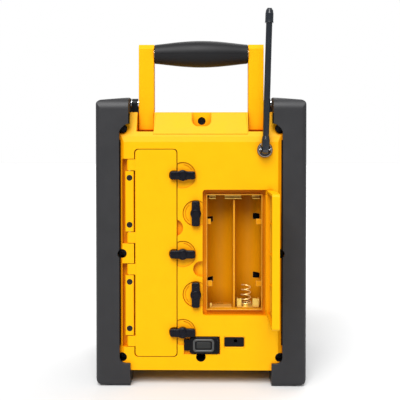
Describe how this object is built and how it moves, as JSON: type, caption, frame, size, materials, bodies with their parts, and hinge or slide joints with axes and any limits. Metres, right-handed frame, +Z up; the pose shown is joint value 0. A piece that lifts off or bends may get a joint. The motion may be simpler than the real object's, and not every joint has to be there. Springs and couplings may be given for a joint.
{
  "type": "portable radio",
  "caption": "Rugged portable radio with folding handle, rubber bumpers, whip antenna, latched storage cover and an open battery bay with a hinged door.",
  "frame": {"origin": "centre of the whole object's box, open battery door included, on the plane the feet stand on", "axes": "+Z up; +Y from the rear face to the speaker side; +X to the right seen from behind"},
  "size_m": [0.211, 0.2266, 0.3773],
  "materials": {
    "yellow_housing": "moulded, semi-gloss",
    "bumper_rubber": "soft, matt",
    "latch_plastic": "moulded",
    "grip_rubber": "moulded grip",
    "antenna_rubber": "semi-gloss coating",
    "flap_rubber": "moulded",
    "bright_steel": "plated",
    "steel": "drawn wire and pins",
    "contact_metal": "nickel plated spring sheet",
    "black_screw": "black oxide",
    "black_plastic": "textured",
    "clear_lens": "clear window",
    "lcd": "display glass and frame",
    "cone_paper": "pulp cone",
    "speaker_steel": "painted",
    "magnet": "ferrite",
    "board": "solder mask",
    "aluminium": "extruded",
    "button_plastic": "grey",
    "button_red": "red"
  },
  "bodies": {
    "radio": {"rear_housing": "yellow_housing", "front_housing": "yellow_housing", "bumper_right": "bumper_rubber", "bumper_left": "bumper_rubber", "housing_screws": "steel", "battery_tub": "yellow_housing", "battery_spring": "steel", "battery_contacts": "contact_metal", "battery_door_pin": "steel", "storage_tub": "yellow_housing", "hinge_retainer_lower": "yellow_housing", "hinge_retainer_upper": "yellow_housing", "retainer_screws": "black_screw", "cover_hinge_pins": "steel", "dc_flap_anchor": "flap_rubber", "dc_jack": "black_plastic", "aux_panel": "black_plastic", "aux_jack": "bright_steel", "antenna_collar": "black_plastic", "handle_brackets": "latch_plastic", "handle_pivot_pins": "bright_steel", "handle_washers": "bright_steel", "handle_rest_pads": "bumper_rubber", "speaker_grille": "black_plastic", "speaker_basket": "speaker_steel", "speaker_cone": "cone_paper", "speaker_magnet": "magnet", "control_panel": "black_plastic", "display_lens": "clear_lens", "lcd_module": "lcd", "rotary_encoders": "bright_steel", "keypad_board": "board", "main_board": "board", "heat_sink": "aluminium", "tuner_module": "contact_metal"},
    "handle": {"handle_arm_left": "yellow_housing", "handle_arm_right": "yellow_housing", "handle_grip": "grip_rubber", "handle_core": "steel"},
    "antenna_turret": {"antenna_turret": "latch_plastic", "antenna_pin": "steel"},
    "antenna_mast": {"antenna_sleeve": "antenna_rubber", "antenna_whip": "antenna_rubber", "antenna_tip": "antenna_rubber"},
    "storage_cover": {"storage_cover": "yellow_housing"},
    "battery_door": {"battery_door": "yellow_housing", "battery_door_gasket": "flap_rubber"},
    "cover_latch_top": {"cover_latch_top": "latch_plastic"},
    "cover_latch_middle": {"cover_latch_middle": "latch_plastic"},
    "cover_latch_bottom": {"cover_latch_bottom": "latch_plastic"},
    "door_latch_upper": {"door_latch_upper": "latch_plastic"},
    "door_latch_lower": {"door_latch_lower": "latch_plastic"},
    "dc_flap": {"dc_flap": "flap_rubber"},
    "volume_knob": {"volume_knob": "black_plastic"},
    "tuning_knob": {"tuning_knob": "black_plastic"},
    "power_button": {"power_button": "button_red"},
    "preset_button_1": {"preset_button_1": "button_plastic"},
    "preset_button_2": {"preset_button_2": "button_plastic"},
    "preset_button_3": {"preset_button_3": "button_plastic"},
    "preset_button_4": {"preset_button_4": "button_plastic"}
  },
  "joints": [
    {"name": "handle_fold", "type": "hinge", "parent": "radio", "child": "handle", "pos_m": [0, -0.02375, 0.2845], "axis": [-1, 0, 0], "range_deg": [0, 90]},
    {"name": "antenna_swivel", "type": "hinge", "parent": "radio", "child": "antenna_turret", "pos_m": [0.0638, -0.05875, 0.2372], "axis": [0, 1, 0], "range_deg": [-91, 88]},
    {"name": "antenna_tilt", "type": "hinge", "parent": "antenna_turret", "child": "antenna_mast", "pos_m": [0.0638, -0.05875, 0.2372], "axis": [0.9996, 0, -0.0288], "range_deg": [0, 90]},
    {"name": "storage_cover_hinge", "type": "hinge", "parent": "radio", "child": "storage_cover", "pos_m": [-0.0717, -0.04755, 0.1335], "axis": [0, 0, -1], "range_deg": [0, 105]},
    {"name": "battery_door_hinge", "type": "hinge", "parent": "radio", "child": "battery_door", "pos_m": [0.0688, -0.04675, 0.134], "axis": [0, 0, -1], "range_deg": [0, 90]},
    {"name": "dc_flap_hinge", "type": "hinge", "parent": "radio", "child": "dc_flap", "pos_m": [-0.0115, -0.05115, 0.0407], "axis": [0, 0, -1], "range_deg": [0, 90]},
    {"name": "cover_latch_top_turn", "type": "hinge", "parent": "radio", "child": "cover_latch_top", "pos_m": [-0.0182, -0.05075, 0.2117], "axis": [0, 1, 0], "range_deg": [0, 90]},
    {"name": "cover_latch_middle_turn", "type": "hinge", "parent": "radio", "child": "cover_latch_middle", "pos_m": [-0.0182, -0.05075, 0.1327], "axis": [0, 1, 0], "range_deg": [0, 90]},
    {"name": "cover_latch_bottom_turn", "type": "hinge", "parent": "radio", "child": "cover_latch_bottom", "pos_m": [-0.0182, -0.05075, 0.054], "axis": [0, 1, 0], "range_deg": [0, 90]},
    {"name": "door_latch_upper_turn", "type": "hinge", "parent": "radio", "child": "door_latch_upper", "pos_m": [-0.0051, -0.05075, 0.1735], "axis": [0, 1, 0], "range_deg": [0, 90]},
    {"name": "door_latch_lower_turn", "type": "hinge", "parent": "radio", "child": "door_latch_lower", "pos_m": [-0.0051, -0.05075, 0.092], "axis": [0, 1, 0], "range_deg": [0, 90]},
    {"name": "volume_knob_turn", "type": "hinge", "parent": "radio", "child": "volume_knob", "pos_m": [-0.052, 0.10025, 0.224], "axis": [0, 1, 0], "range_deg": [-150, 150]},
    {"name": "tuning_knob_turn", "type": "hinge", "parent": "radio", "child": "tuning_knob", "pos_m": [0.052, 0.10025, 0.224], "axis": [0, 1, 0], "continuous": true},
    {"name": "power_button_press", "type": "slide", "parent": "radio", "child": "power_button", "axis": [0, -1, 0], "range_m": [0, 0.0012], "stiffness_N_per_m": 300},
    {"name": "preset_button_1_press", "type": "slide", "parent": "radio", "child": "preset_button_1", "axis": [0, -1, 0], "range_m": [0, 0.0012], "stiffness_N_per_m": 300},
    {"name": "preset_button_2_press", "type": "slide", "parent": "radio", "child": "preset_button_2", "axis": [0, -1, 0], "range_m": [0, 0.0012], "stiffness_N_per_m": 300},
    {"name": "preset_button_3_press", "type": "slide", "parent": "radio", "child": "preset_button_3", "axis": [0, -1, 0], "range_m": [0, 0.0012], "stiffness_N_per_m": 300},
    {"name": "preset_button_4_press", "type": "slide", "parent": "radio", "child": "preset_button_4", "axis": [0, -1, 0], "range_m": [0, 0.0012], "stiffness_N_per_m": 300}
  ]
}
